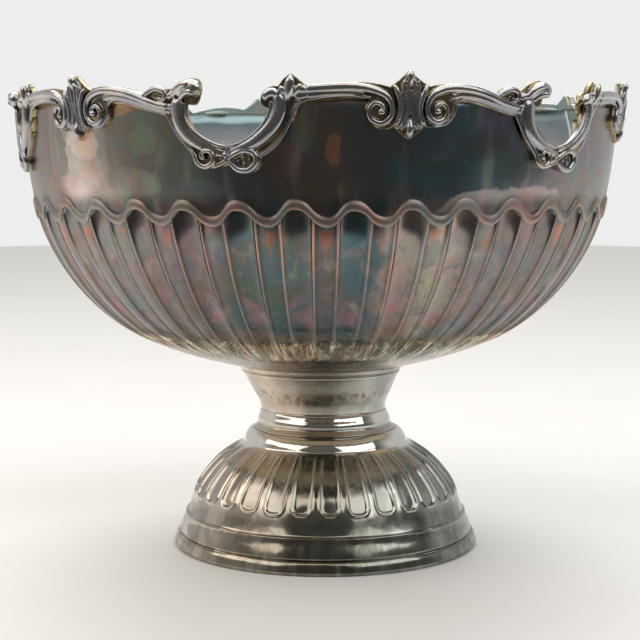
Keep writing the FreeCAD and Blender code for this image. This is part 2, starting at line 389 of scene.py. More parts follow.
outer_rings, outer_marks = bowl_side(0.0, 1.0)
inner_rings, inner_marks = bowl_side(SHEET, 0.8)
floor_steps = (0.35, 0.8)
floor_outer = [turn(part * FLOOR_R, BOWL_FLOOR, bowl_angle) for part in floor_steps]
floor_inner = [turn(part * FLOOR_R, BOWL_FLOOR + SHEET, bowl_angle) for part in floor_steps]
flat = [np.zeros((3, len(bowl_angle)))] * len(floor_steps)
all_rings = np.array(floor_outer + outer_rings + inner_rings[::-1] + floor_inner[::-1])
all_marks = np.array(flat + outer_marks + inner_marks[::-1] + flat)
bowl = skin("bowl_fluted", all_rings, closed=False, relief=all_marks[:, 0])
for name, mark in (("lip", all_marks[:, 1]), ("shelter", all_marks[:, 2])):
    values = np.concatenate([mark.reshape(-1), [0.0, 0.0]])
    bowl.data.attributes.new(name, "FLOAT", "POINT").data.foreach_set("value", values)
put(bowl, "bowl_sheet", "bowl_shell")

outside_rows = len(floor_outer) + len(outer_rings)
columns = len(bowl_angle)
is_inside = np.zeros(len(bowl.data.polygons), int)
is_inside[outside_rows * columns:(len(all_rings) - 1) * columns] = 1
is_inside[-columns:] = 1
bowl.data.polygons.foreach_set("material_index", is_inside)

# %% [markdown]
# ## Drawing the cast rim
# The rim was cast in flat moulds, bent to the bowl and soldered on. So each casting is built the
# same way: a thin back plate with rolls, beads and scrolls laid on it, all drawn flat as arc
# length and height. A voxel remesh then fuses the strands into one body, as molten metal would,
# and the finished relief is wrapped onto the bowl.

# %% Strands
def flowing(points, step=0.6):
    """Points along a smooth curve through the given rows, whatever their number of columns."""
    points = np.array(points, float)
    ends = np.vstack([2 * points[0] - points[1], points, 2 * points[-1] - points[-2]])
    made = []
    for i in range(len(points) - 1):
        p0, p1, p2, p3 = ends[i:i + 4]
        count = max(2, int(np.linalg.norm(p2[:2] - p1[:2]) / step))
        for t in np.linspace(0, 1, count, endpoint=False):
            made.append(0.5 * (2 * p1 + (p2 - p0) * t + (2 * p0 - 5 * p1 + 4 * p2 - p3) * t ** 2
                               + (3 * p1 - p0 - 3 * p2 + p3) * t ** 3))
    made.append(points[-1])
    return np.array(made)


def strand(points, flatten=1.0, sides=12):
    """A rounded bar with round ends. Each point is (arc, height, thickness radius, lift)."""
    line = flowing(points)
    along = np.gradient(line[:, :2], axis=0)
    along /= np.linalg.norm(along, axis=1, keepdims=True)
    side = np.stack([-along[:, 1], along[:, 0]], -1)
    radius = line[:, 2]
    travelled = np.concatenate([[0], np.cumsum(np.linalg.norm(np.diff(line[:, :2], axis=0), axis=1))])
    for distance in (travelled, travelled[-1] - travelled):
        rest = np.clip(distance / radius, 0.02, 1)
        radius = radius * np.sqrt(1 - (1 - rest) ** 2)
    rings = []
    for k in range(len(line)):
        around = np.linspace(0, 2 * math.pi, sides, endpoint=False)
        flat_part = line[k, :2] + np.outer(np.cos(around) * radius[k], side[k])
        lift = line[k, 3] + np.sin(around) * radius[k] * flatten
        rings.append(np.column_stack([flat_part, lift]))
    points = np.vstack(rings + [[*line[0, :2], line[0, 3]], [*line[-1, :2], line[-1, 3]]])
    faces = ring_faces(len(line), sides, False)
    first, last = len(points) - 2, len(points) - 1
    start = (len(line) - 1) * sides
    for k in range(sides):
        after = (k + 1) % sides
        faces.append((after, k, first))
        faces.append((start + k, start + after, last))
    return points, faces


def bead(arc_length, height, radius, lift):
    """A single rounded bead."""
    reach = radius * 0.9
    return strand([(arc_length - reach, height, radius, lift), (arc_length, height, radius, lift),
                   (arc_length + reach, height, radius, lift)])


print("a bead of radius 2 mm has %d points" % len(bead(0, 0, 2.0, 0)[0]))

# %% [markdown]
# The back plate could be drawn again by hand, but then it would drift from the solid. Instead it
# is the CAD casting itself, unrolled from the bowl and thinned, so its outline follows the
# solid's.

# %% Back plates
PLATE = 1.7                         # thickness of the cast back plate in front of the sheet


def wall_radius(height):
    """Outer radius of the bowl's sheet at a height, carried on straight above its cut edge."""
    height = np.asarray(height, float)
    point = BOWL.at(BOWL.distance_at_height(np.minimum(height, SHEET_TOP)))[0]
    slope = (RIM_R - WALL_R) / (SHEET_TOP - WALL_TOP)
    return point[..., 0] + np.maximum(height - SHEET_TOP, 0) * slope


def back_plate(node, centre_arc):
    """The CAD casting unwrapped to (arc, height, lift) and thinned to a plate."""
    work = bmesh.new()
    work.from_mesh(frame["nodes"][node].data)
    bmesh.ops.remove_doubles(work, verts=work.verts, dist=1e-6)
    points = np.array([v.co for v in work.verts]) / MM
    work.verts.index_update()
    faces = [[v.index for v in face.verts] for face in work.faces]
    work.free()
    angle = np.arctan2(points[:, 0], -points[:, 1])
    lift = np.hypot(points[:, 0], points[:, 1]) - wall_radius(points[:, 2])
    thin = np.where(lift > 2.0, PLATE, -SHEET / 2)
    return np.column_stack([angle * DEVELOP_R - centre_arc, points[:, 2], thin]), faces


print("wall radius at the cut edge: %.1f mm" % wall_radius(SHEET_TOP))

# %% [markdown]
# Strands that only cross each other still show where one enters the next. A voxel remesh melts
# them together, and a light smoothing takes off its steps. The relief is fused once and then
# wrapped round the rim six times, so all the copies are alike.

# %% Fuse and wrap
VOXEL = 0.4                         # the thinnest ribs are about 1.4 mm across at their ends


def cast(name, parts):
    """Fuses parts drawn flat into one relief, and returns its points and faces, still flat."""
    points = []
    faces = []
    for part_points, part_faces in parts:
        faces += [[i + len(points) for i in face] for face in part_faces]
        points += np.asarray(part_points).tolist()
    mesh = bpy.data.meshes.new(name + "_flat")
    mesh.from_pydata(points, [], faces)
    rough = bpy.data.objects.new(name + "_flat", mesh)
    bpy.context.scene.collection.objects.link(rough)
    fuse = rough.modifiers.new("fuse", "REMESH")
    fuse.mode = "VOXEL"
    fuse.voxel_size = VOXEL
    ease = rough.modifiers.new("ease", "SMOOTH")
    ease.factor = 0.5
    ease.iterations = 2
    graph = bpy.context.evaluated_depsgraph_get()
    fused = bpy.data.meshes.new_from_object(rough.evaluated_get(graph))
    made = np.empty(len(fused.vertices) * 3)
    fused.vertices.foreach_get("co", made)
    made_faces = [tuple(face.vertices) for face in fused.polygons]
    bpy.data.objects.remove(rough)
    bpy.data.meshes.remove(mesh)
    bpy.data.meshes.remove(fused)
    print("%-18s %7d points after fusing" % (name, len(made) // 3))
    return made.reshape(-1, 3), made_faces


def wrap(points, centre_arc):
    """Lays a flat relief on the bowl's wall. Its back fills in over the sheet's cut edge."""
    arc_length, height, lift = points.T
    capping = 1 + 1.3 * smooth_step(SHEET_TOP - 0.5, SHEET_TOP + 1.0, height)
    lift = np.where(lift < 0, lift * capping, lift)
    return turn(wall_radius(height) + lift, height, (arc_length + centre_arc) / DEVELOP_R)


def ring_of(name, flat_points, faces, centre_arc, slot):
    """The six copies of a casting round the rim, each standing for its own CAD node."""
    for k in range(REPEATS):
        points = wrap(flat_points, centre_arc + k * PITCH)
        piece = as_object("%s_cast_%d" % (name, k + 1), points, faces, flat_points[:, 2])
        put(piece, slot, "%s_%d" % (name, k + 1))


print("castings repeat every %.1f mm round the rim" % PITCH)

# %% [markdown]
# ## The leaf casting
# Two long arches run down from a leaf with a pointed tip. Each arch is a fat upper roll and a
# thin lower bead with a hollow between them. Next to the leaf each arch curls under itself into
# a C-scroll with a round eye. The leaf is a bundle of ribs that spring from its waist and fan
# outwards, and its tip leans out from the bowl.

# %% Leaf casting
LEAF_TURN = -1.0                    # the leaf stands a hair to one side of its scrolls

right_arch = [(70.0, 286.6, 2.2, 2.2), (62.0, 288.0, 2.2, 2.3), (55.0, 290.2, 2.3, 2.5),
              (47.0, 293.0, 2.4, 2.7), (38.0, 295.4, 2.5, 2.8), (27.0, 296.6, 2.5, 3.0),
              (18.5, 295.8, 2.3, 3.2), (12.0, 292.6, 2.1, 3.4), (9.0, 287.4, 1.9, 3.4),
              (9.8, 281.6, 1.8, 3.2), (14.4, 278.2, 1.7, 3.0), (19.4, 280.0, 1.6, 3.0),
              (20.6, 284.6, 1.5, 3.2), (17.8, 288.0, 1.4, 3.4), (14.2, 286.8, 1.4, 3.6),
              (14.0, 283.8, 1.6, 3.9), (15.6, 283.4, 1.9, 4.2)]
left_arch = [(-59.0, 295.4, 2.3, 2.8), (-46.0, 296.2, 2.5, 2.8), (-33.0, 296.6, 2.5, 3.0),
             (-23.0, 295.4, 2.3, 3.2), (-15.0, 292.2, 2.1, 3.4), (-11.4, 286.8, 1.9, 3.4),
             (-12.0, 280.8, 1.8, 3.2), (-16.8, 277.2, 1.7, 3.0), (-22.4, 279.2, 1.7, 3.0),
             (-24.0, 284.2, 1.6, 3.2), (-21.2, 288.0, 1.5, 3.4), (-17.0, 287.0, 1.4, 3.6),
             (-16.4, 283.6, 1.6, 3.9), (-18.4, 282.8, 2.0, 4.2)]
right_bead = [(70.0, 283.6, 1.1, 2.0), (60.0, 285.0, 1.1, 2.0), (50.0, 287.6, 1.1, 2.1),
              (40.0, 290.2, 1.1, 2.2), (31.0, 291.2, 1.1, 2.3), (26.4, 288.6, 1.1, 2.3),
              (25.2, 283.0, 1.1, 2.2), (20.6, 277.4, 1.1, 2.1), (13.0, 275.6, 1.1, 2.0)]
left_bead = [(-59.0, 289.8, 1.1, 2.0), (-46.0, 291.8, 1.1, 2.2), (-35.0, 292.4, 1.1, 2.3),
             (-28.0, 291.6, 1.1, 2.4), (-22.0, 291.0, 1.0, 2.4)]
right_cove = [(70.0, 285.0, 2.4, 1.2), (60.0, 287.0, 2.6, 1.2), (50.0, 289.8, 2.8, 1.3),
              (40.0, 292.4, 2.9, 1.4), (30.0, 293.4, 2.9, 1.4), (22.0, 291.6, 2.4, 1.4)]
left_cove = [(-59.0, 292.4, 2.8, 1.3), (-46.0, 293.8, 2.8, 1.4), (-33.0, 294.0, 2.7, 1.4),
             (-26.0, 292.2, 2.2, 1.4)]
small_curl = [(51.0, 291.6, 1.3, 2.8), (56.5, 294.6, 1.6, 3.0), (61.5, 296.5, 1.7, 3.2),
              (66.6, 295.2, 1.6, 3.3), (67.6, 291.8, 1.4, 3.2), (64.4, 290.6, 1.2, 3.0),
              (62.6, 292.4, 1.2, 2.8)]


def mirrored(points, about):
    """The same strand on the other side of a line at an arc length."""
    return [(2 * about - arc_length, *rest) for arc_length, *rest in points]


def on_leaf(points):
    """A strand drawn from the leaf's own middle, moved to where the leaf stands."""
    return [(LEAF_TURN + arc_length, *rest) for arc_length, *rest in points]


leaf_body = on_leaf([(0.0, 305.4, 1.5, 4.2), (0.0, 301.6, 3.0, 3.2), (0.0, 297.0, 5.0, 2.2),
                     (0.0, 290.0, 4.2, 1.4), (0.0, 284.0, 3.8, 1.2), (0.0, 277.0, 5.0, 1.2)])
leaf_bud = on_leaf([(-0.6, 306.0, 1.2, 4.2), (-0.7, 303.2, 2.3, 4.4), (-0.4, 300.0, 2.0, 3.9),
                    (-0.2, 296.8, 0.9, 3.0)])
leaf_petal = on_leaf([(0.0, 279.4, 0.8, 3.0), (0.0, 275.0, 2.3, 3.2), (0.0, 271.6, 2.0, 3.0),
                      (0.0, 268.9, 0.7, 2.4)])
leaf_inner_rib = on_leaf([(-1.6, 301.0, 0.8, 5.0), (-1.7, 296.0, 1.1, 4.4), (-1.2, 290.0, 1.0, 3.8),
                          (-1.1, 284.6, 0.9, 3.6), (-2.2, 278.6, 1.0, 3.6), (-4.4, 274.0, 0.8, 2.8)])
leaf_side_rib = on_leaf([(-4.0, 300.4, 0.7, 4.8), (-4.4, 295.4, 1.1, 4.4), (-3.6, 289.0, 1.0, 3.6),
                         (-3.2, 283.6, 0.9, 3.3), (-4.8, 277.8, 1.0, 3.2), (-6.9, 274.8, 0.8, 2.6)])
leaf_outer_rib = on_leaf([(-9.6, 298.0, 1.0, 3.8), (-7.8, 294.4, 1.5, 4.4), (-6.2, 289.0, 1.4, 4.2),
                          (-5.8, 283.6, 1.3, 3.8), (-7.4, 278.2, 1.3, 3.4), (-9.4, 276.0, 0.9, 2.6)])

leaf_parts = [back_plate("rim_leaf_1", 0.0)]
for line in (right_cove, left_cove, right_arch, left_arch, right_bead, left_bead, small_curl,
             leaf_petal, leaf_bud):
    leaf_parts.append(strand(line))
leaf_parts.append(strand(leaf_body, flatten=0.35, sides=16))
for line in (leaf_inner_rib, leaf_side_rib, leaf_outer_rib):
    leaf_parts.append(strand(line))
    leaf_parts.append(strand(mirrored(line, LEAF_TURN)))
for eye in ((15.6, 283.8, 1.7, 3.6), (-17.8, 283.2, 1.9, 3.6)):
    leaf_parts.append(bead(*eye))
leaf_flat, leaf_faces = cast("rim_leaf", leaf_parts)
ring_of("rim_leaf", leaf_flat, leaf_faces, 0.0, "rim_casting")

# %% [markdown]
# ## The notch casting
# Each notch is a U for the stem of a glass. On its left a fat roll rises from the U, turns over
# and ends in a knob with an eye. On its right the roll ends in a small hook beside a pointed
# leaf. A thin bead runs down the outside of both legs, and each ends in a scroll under the U.

# %% Notch casting
left_leg = [
    (-27.4, 292.0, 4.2, 2.4), (-28.0, 285.0, 4.6, 2.2), (-26.2, 276.8, 4.5, 2.0),
    (-21.0, 270.0, 4.2, 2.0), (-13.4, 264.9, 3.7, 2.0), (-5.0, 261.4, 2.7, 2.0),
    (0.6, 260.8, 1.8, 1.9)]
left_leg_edge = [
    (-23.6, 289.0, 1.0, 3.4), (-24.0, 282.0, 1.0, 3.5), (-21.0, 275.6, 1.0, 3.5),
    (-14.6, 270.0, 1.0, 3.3), (-7.0, 266.0, 1.0, 3.0), (0.0, 264.2, 0.9, 2.6)]
knob = [
    (-27.0, 291.6, 2.4, 3.4), (-24.4, 295.2, 3.4, 4.0), (-19.6, 297.2, 4.3, 4.4),
    (-13.0, 294.6, 4.2, 4.2)]
knob_leaf = [
    (-30.6, 291.6, 1.4, 4.2), (-27.4, 295.6, 1.8, 5.6), (-22.8, 298.4, 1.9, 6.8),
    (-18.6, 298.6, 1.4, 7.6)]
knob_fold = [
    (-26.0, 290.2, 1.1, 4.8), (-22.6, 293.4, 1.5, 6.2), (-18.6, 294.4, 1.6, 7.4),
    (-15.6, 292.8, 1.2, 7.4)]
left_leg_bead = [
    (-36.0, 283.8, 1.1, 2.0), (-33.2, 278.6, 1.1, 2.0), (-28.4, 270.8, 1.1, 2.1),
    (-22.8, 264.6, 1.2, 2.3), (-18.8, 260.2, 1.5, 3.0), (-16.8, 255.6, 1.6, 3.4),
    (-12.0, 253.6, 1.6, 3.6), (-7.6, 256.6, 1.5, 3.8), (-8.4, 261.2, 1.4, 3.9),
    (-12.4, 262.2, 1.2, 4.0), (-14.6, 259.2, 1.2, 4.0), (-12.0, 257.6, 1.3, 4.0)]
bottom_lobe = [(-13.0, 253.8, 1.2, 2.2), (-7.0, 254.0, 1.5, 2.2), (-1.0, 256.6, 1.5, 2.2),
               (2.0, 258.6, 1.2, 2.2)]
right_scroll = [
    (0.6, 257.4, 1.2, 2.6), (4.8, 260.4, 1.6, 3.0), (10.4, 262.4, 1.7, 3.2),
    (15.8, 261.0, 1.8, 3.4), (17.2, 256.4, 1.9, 3.4), (13.2, 252.0, 1.9, 3.2),
    (7.2, 251.8, 1.8, 3.0), (3.2, 254.6, 1.5, 2.8), (0.8, 257.2, 1.2, 2.6)]
right_leg = [
    (1.0, 260.6, 1.8, 1.9), (8.6, 263.6, 3.2, 2.0), (17.4, 268.0, 4.1, 2.0),
    (25.4, 275.2, 4.5, 2.1), (29.8, 283.0, 4.4, 2.2), (30.6, 289.4, 3.8, 2.6),
    (27.8, 292.6, 3.2, 3.0)]
right_leg_edge = [
    (0.0, 264.2, 0.9, 2.6), (8.0, 266.4, 1.0, 3.0), (15.6, 270.8, 1.0, 3.4),
    (21.8, 277.0, 1.0, 3.6), (25.4, 283.8, 1.0, 3.6), (26.0, 289.6, 0.9, 3.6)]
ear = [(30.4, 291.0, 2.4, 3.6), (27.4, 293.6, 2.6, 4.2), (23.8, 292.6, 2.5, 4.4),
       (22.6, 289.4, 1.9, 4.2)]
right_leg_bead = [
    (18.6, 259.0, 1.1, 2.0), (25.6, 263.6, 1.1, 2.1), (31.4, 269.8, 1.1, 2.1),
    (35.2, 276.4, 1.1, 2.1), (37.8, 282.8, 1.1, 2.1), (41.4, 288.2, 1.1, 2.1),
    (46.0, 290.2, 1.1, 2.0)]
peak_leaf = [(34.6, 289.4, 1.4, 3.2), (35.6, 294.6, 2.7, 4.2), (36.6, 299.8, 2.5, 4.8),
             (37.0, 303.2, 0.9, 4.8)]
peak_left = [(34.4, 291.0, 1.0, 3.2), (32.4, 295.0, 1.7, 3.8), (30.6, 297.0, 1.0, 3.8)]
peak_right = [(37.2, 291.4, 1.0, 3.2), (40.2, 295.4, 1.8, 3.8), (42.8, 298.2, 1.0, 3.8)]
seam_roll = [(38.0, 295.2, 2.0, 2.8), (46.0, 295.4, 2.3, 2.8)]
left_link = [(-35.0, 286.6, 2.2, 2.2), (-31.0, 287.0, 2.2, 2.4)]
left_top = [(-35.0, 291.4, 2.0, 2.6), (-29.6, 294.0, 2.2, 3.0)]
seam_cove = [(38.0, 291.8, 2.6, 1.3), (46.0, 292.6, 2.8, 1.3)]
left_cove_end = [(-38.0, 285.2, 2.4, 1.3), (-31.0, 284.6, 2.4, 1.3)]
BERRIES = [(6.6, 256.8, 1.2, 2.3), (9.6, 259.2, 1.3, 2.4), (10.4, 255.6, 1.5, 2.6),
           (13.4, 257.8, 1.3, 2.4)]

KNOB_PLATE = -17.6                  # the plate behind the knob is drawn in beyond this arc length
KNOB_LOW = 286.0                    # and only above this height

notch_plate, notch_plate_faces = back_plate("rim_notch_1", PITCH / 2)
plate_arc, plate_height = notch_plate[:, 0], notch_plate[:, 1]
knob_side = (plate_height > KNOB_LOW) & (plate_arc > KNOB_PLATE) & (plate_arc < 0)
notch_plate[knob_side, 0] = KNOB_PLATE + 0.5 * (notch_plate[knob_side, 0] - KNOB_PLATE)
notch_parts = [(notch_plate, notch_plate_faces)]
for line in (left_leg, right_leg):
    notch_parts.append(strand(line, flatten=0.78, sides=16))
for line in (left_leg_edge, left_leg_bead, knob, knob_leaf, knob_fold, bottom_lobe, right_scroll,
             right_leg_edge, right_leg_bead, ear, peak_leaf, peak_left, peak_right, seam_roll,
             seam_cove, left_link, left_cove_end, left_top):
    notch_parts.append(strand(line))
for berry in BERRIES:
    notch_parts.append(bead(*berry))
notch_parts.append(bead(-0.6, 259.8, 1.9, 2.6))
notch_flat, notch_faces = cast("rim_notch", notch_parts)
ring_of("rim_notch", notch_flat, notch_faces, PITCH / 2, "rim_casting")

# %% [markdown]
# ## Collar, neck and base band
# These are plain turned pieces. Each is a closed ring with its own section. The section is given
# as runs, each smooth in itself, so that a step between two runs stays sharp. The neck is sheet,
# so its section goes back one thickness behind its outer line.

# %% Turned pieces
TURNS = 256                         # points round each ring


def turned_ring(name, runs, slot, node, step=0.7, still=0.0):
    """A closed ring turned from runs of (radius, height). Within the radius still, nothing leans."""
    line = []
    for run in runs:
        outline = Outline(run)
        count = max(2, int(outline.length / step))
        line += outline.at(np.linspace(0, outline.length, count))[0].tolist()
    keep = [line[0]]
    for point in line[1:]:
        if math.dist(point, keep[-1]) > 1e-4 and math.dist(point, line[0]) > 1e-4:
            keep.append(point)
    angle = np.linspace(0, 2 * math.pi, TURNS, endpoint=False)
    straight = np.array([turn(radius, height, angle) for radius, height in keep])
    share = np.array([1.0 if radius > still else 0.0 for radius, height in keep])
    rings = straight + share[:, None, None] * (leaning(straight) - straight)
    put(skin(name, rings), slot, node)


def sheet_runs(outer_runs):
    """The outer runs of a sheet, and one smooth run back behind them."""
    outer = [point for run in outer_runs for point in run]
    path = Outline([p for i, p in enumerate(outer) if i == 0 or math.dist(p, outer[i - 1]) > 0.2])
    point, normal = path.at(path.knots)
    behind = point - normal * SHEET * np.sign(normal[len(normal) // 2, 0] or 1)
    behind[0] = point[0] - (SHEET, 0)
    behind[-1] = point[-1] - (SHEET, 0)
    back = behind[::-1].tolist()
    return outer_runs + [[outer_runs[-1][-1], back[0]], back, [back[-1], outer_runs[0][0]]]


neck_runs = [
    [(53.4, NECK_TOP), (53.5, NECK_TOP - 1.2), (52.6, NECK_TOP - 2.4)],
    [(52.6, NECK_TOP - 2.4), (50.6, 112.0), (48.1, 107.0), (44.5, 100.0), (42.3, 94.6),
     (41.8, 91.4)],
    [(41.8, 91.4), (42.6, 90.2), (43.7, 87.4), (44.8, 84.6), (44.9, 83.4)],
    [(44.9, 83.4), (44.6, 82.2), (45.6, 80.4), (47.6, DOME_TOP)],
]
turned_ring("neck_spun", sheet_runs(neck_runs), "foot_sheet", "foot_neck")

# %% [markdown]
# ## The disc in the waist
# A brass disc is soldered across the inside of the neck, and the stud passes through it. Its edge
# has to move over with the neck's wall, or it would come through on one side, while its hole has
# to stay on the stud. Its sizes are read from the CAD disc. The change between the two parts is
# sudden, so a strip a millimetre wide folds flat on itself beside the washer. Easing the change
# over the disc's width would be the better way.

# %% Waist disc
DISC_STILL = 14.0                   # this much round the stud does not lean

disc_low, disc_high = (corner[2] for corner in node_box("neck_plate"))
disc_points = [(math.hypot(v.co.x, v.co.y) / MM, v.co.z / MM)
               for v in frame["nodes"]["neck_plate"].data.vertices]
disc_hole = min(radius for radius, height in disc_points)
disc_foot = max(radius for radius, height in disc_points)
disc_head = max(radius for radius, height in disc_points if height > disc_high - 0.01)
disc_runs = [
    [(disc_foot, disc_low), (disc_hole, disc_low)],
    [(disc_hole, disc_low), (disc_hole, disc_high)],
    [(disc_hole, disc_high), (disc_head, disc_high)],
    [(disc_head, disc_high), (disc_foot, disc_low)],
]
turned_ring("waist_disc", disc_runs, "plain_brass", "neck_plate", step=1.4, still=DISC_STILL)
print("waist disc: hole radius %.1f, rim radius %.1f" % (disc_hole, disc_foot))

# %% [markdown]
# ## Collar ring and base band
# Both are solid rings. The collar hides the joint between bowl and neck, and the band stiffens
# the thin edge that the foot stands on.

# %% Collar and base band
collar_runs = [
    [(53.4, NECK_TOP), (54.2, NECK_TOP + 0.4), (55.0, NECK_TOP + 1.6), (56.2, BOWL_FLOOR)],
    [(56.2, BOWL_FLOOR), (49.4, BOWL_FLOOR)],
    [(49.4, BOWL_FLOOR), (49.4, NECK_TOP)],
    [(49.4, NECK_TOP), (53.4, NECK_TOP)],
]
turned_ring("collar_turned", collar_runs, "foot_sheet", "bowl_collar_ring")

BAND_R = 99.2                       # where the band meets the dome
band_runs = [
    [(BAND_R, BAND_TOP), (100.6, 7.6), (101.9, 4.6), (BASE_R, 1.8)],
    [(BASE_R, 1.8), (BASE_R - 0.3, 0.7)],
    [(BASE_R - 0.3, 0.7), (BASE_R - 1.2, 0.0)],
    [(BASE_R - 1.2, 0.0), (96.4, 0.0)],
    [(96.4, 0.0), (95.7, 0.7)],
    [(95.7, 0.7), (95.7, BAND_TOP)],
    [(95.7, BAND_TOP), (BAND_R, BAND_TOP)],
]
turned_ring("base_band", band_runs, "foot_sheet", "foot_base_band")

# %% [markdown]
# ## The domed foot
# Thirty panels are pressed into the dome. Each has a round-cornered bottom and a thin raised
# edge, and two neighbours' edges run up side by side with a narrow valley between them. The
# height of the surface comes from the distance to the panel's outline, so the raised edge turns
# the corner evenly.

# %% Foot dome
PANELS = 30
PANEL_TURN = math.radians(-0.9)     # from the leaf on -Y to the nearest panel's middle
PANEL_BOTTOM = 35.0
PANEL_TOP = 68.2
PANEL_HALF = 0.37                   # half width of a panel, as a part of the spacing
PANEL_CORNER = 5.2
PANEL_SINK = 0.85
PANEL_EDGE = 0.62                   # how far the raised edge stands up
PANEL_EDGE_WIDTH = 0.62
SHOULDER = Outline([(47.6, DOME_TOP), (50.0, 77.5), (52.4, 75.4), (54.3, 72.2), (55.4, 69.0)])
DOME = Outline([(55.4, 69.0), (58.8, 67.0), (64.8, 63.2), (71.4, 58.6), (79.2, 50.6),
                (86.6, 40.0), (90.0, 31.5), (91.9, 26.0), (93.5, 22.2)])
STEP = Outline([(93.5, 22.2), (94.7, 22.0), (94.9, 21.2), (96.8, 15.5), (BAND_R, BAND_TOP)])

half_panel = [0.0, 0.09, 0.18, 0.26, 0.315, 0.345, PANEL_HALF, 0.395, 0.425, 0.46]
panel_period = np.array([-0.5] + [-f for f in reversed(half_panel[1:])] + half_panel)
panel_turns = np.concatenate([k + panel_period for k in range(PANELS)])
dome_angle = panel_turns * 2 * math.pi / PANELS + PANEL_TURN
panel_phase = np.abs(panel_turns - np.round(panel_turns))


def panel_height(radius, below_top, above_bottom):
    """Height of the pressed surface: across is measured round the dome, in millimetres."""
    spacing = 2 * math.pi * radius / PANELS
    half_width = spacing * PANEL_HALF
    across = panel_phase * spacing
    corner = np.minimum(PANEL_CORNER, half_width)
    dx = across - (half_width - corner)
    dy = corner - above_bottom
    outside = np.hypot(np.maximum(dx, 0), np.maximum(dy, 0)) + np.minimum(np.maximum(dx, dy), 0)
    edge_distance = outside - corner
    size = np.interp(radius, [56, 88], [0.45, 1.0])
    sunk = -PANEL_SINK * size * smooth_step(-0.1, 2.0, -edge_distance)
    edge = PANEL_EDGE * size * np.exp(-(edge_distance / PANEL_EDGE_WIDTH) ** 2)
    return (sunk + edge) * smooth_step(0.0, 3.0, below_top)


def dome_rings(inset, soften):
    """Rings down one face of the dome, with the pressed height at each point."""
    rings = []
    heights = []
    for outline, distances in (
            (SHOULDER, np.linspace(0, SHOULDER.length, 12)),
            (DOME, np.concatenate([np.linspace(0.6, 36, 26, endpoint=False),
                                   np.linspace(36, 51, 26, endpoint=False),
                                   np.linspace(51, DOME.length, 7)])),
            (STEP, np.concatenate([np.linspace(0.3, 2.2, 6), np.linspace(3.5, STEP.length, 7)]))):
        point, normal = outline.at(distances)
        for (radius, height), (nr, nz) in zip(point, -normal):
            push = np.zeros(len(dome_angle))
            if outline is DOME:
                push = panel_height(radius, PANEL_TOP - height, height - PANEL_BOTTOM) * soften
            rings.append(turn(radius + nr * (push - inset), height + nz * (push - inset),
                              dome_angle))
            heights.append(push)
    return rings, heights


dome_outer, dome_relief = dome_rings(0.0, 1.0)
dome_inner, dome_back = dome_rings(SHEET, 0.5)
dome_inner = [ring for k, ring in enumerate(dome_inner) if k % 2 == 0]
dome_back = [relief for k, relief in enumerate(dome_back) if k % 2 == 0]
dome = skin("dome_pressed", leaning(np.array(dome_outer + dome_inner[::-1])),
            relief=np.array(dome_relief + dome_back[::-1]))
put(dome, "foot_sheet", "foot_dome")

# %% [markdown]
# ## Writing materials as expressions
# A finish is a graph of nodes, and long graphs are hard to read as calls. A small wrapper lets
# the graph be written as arithmetic: each sum or product of two values adds one Math node.

# %% Shader helpers
class Value:
    """A shader socket that can be used in ordinary arithmetic."""

    def __init__(self, finish, socket):
        self.finish = finish
        self.socket = socket

    def _math(self, operation, *values, clamp=False):
        settings = {"operation": operation, "use_clamp": clamp}
        return self.finish.add("ShaderNodeMath", settings, dict(enumerate(values)))

    def __add__(self, other):
        return self._math("ADD", self, other)

    def __sub__(self, other):
        return self._math("SUBTRACT", self, other)

    def __rsub__(self, other):
        return self._math("SUBTRACT", other, self)

    def __mul__(self, other):
        return self._math("MULTIPLY", self, other)

    def __truediv__(self, other):
        return self._math("DIVIDE", self, other)

    def __pow__(self, other):
        return self._math("POWER", self, other)

    __radd__ = __add__
    __rmul__ = __mul__

    def clamped(self):
        return self._math("ADD", self, 0.0, clamp=True)

    def step(self, low, high):
        """0 below low, 1 above high and a smooth climb between. It falls where low > high."""
        return self.finish.add("ShaderNodeMapRange", {"interpolation_type": "SMOOTHSTEP"},
                               {"Value": self, "From Min": low, "From Max": high})


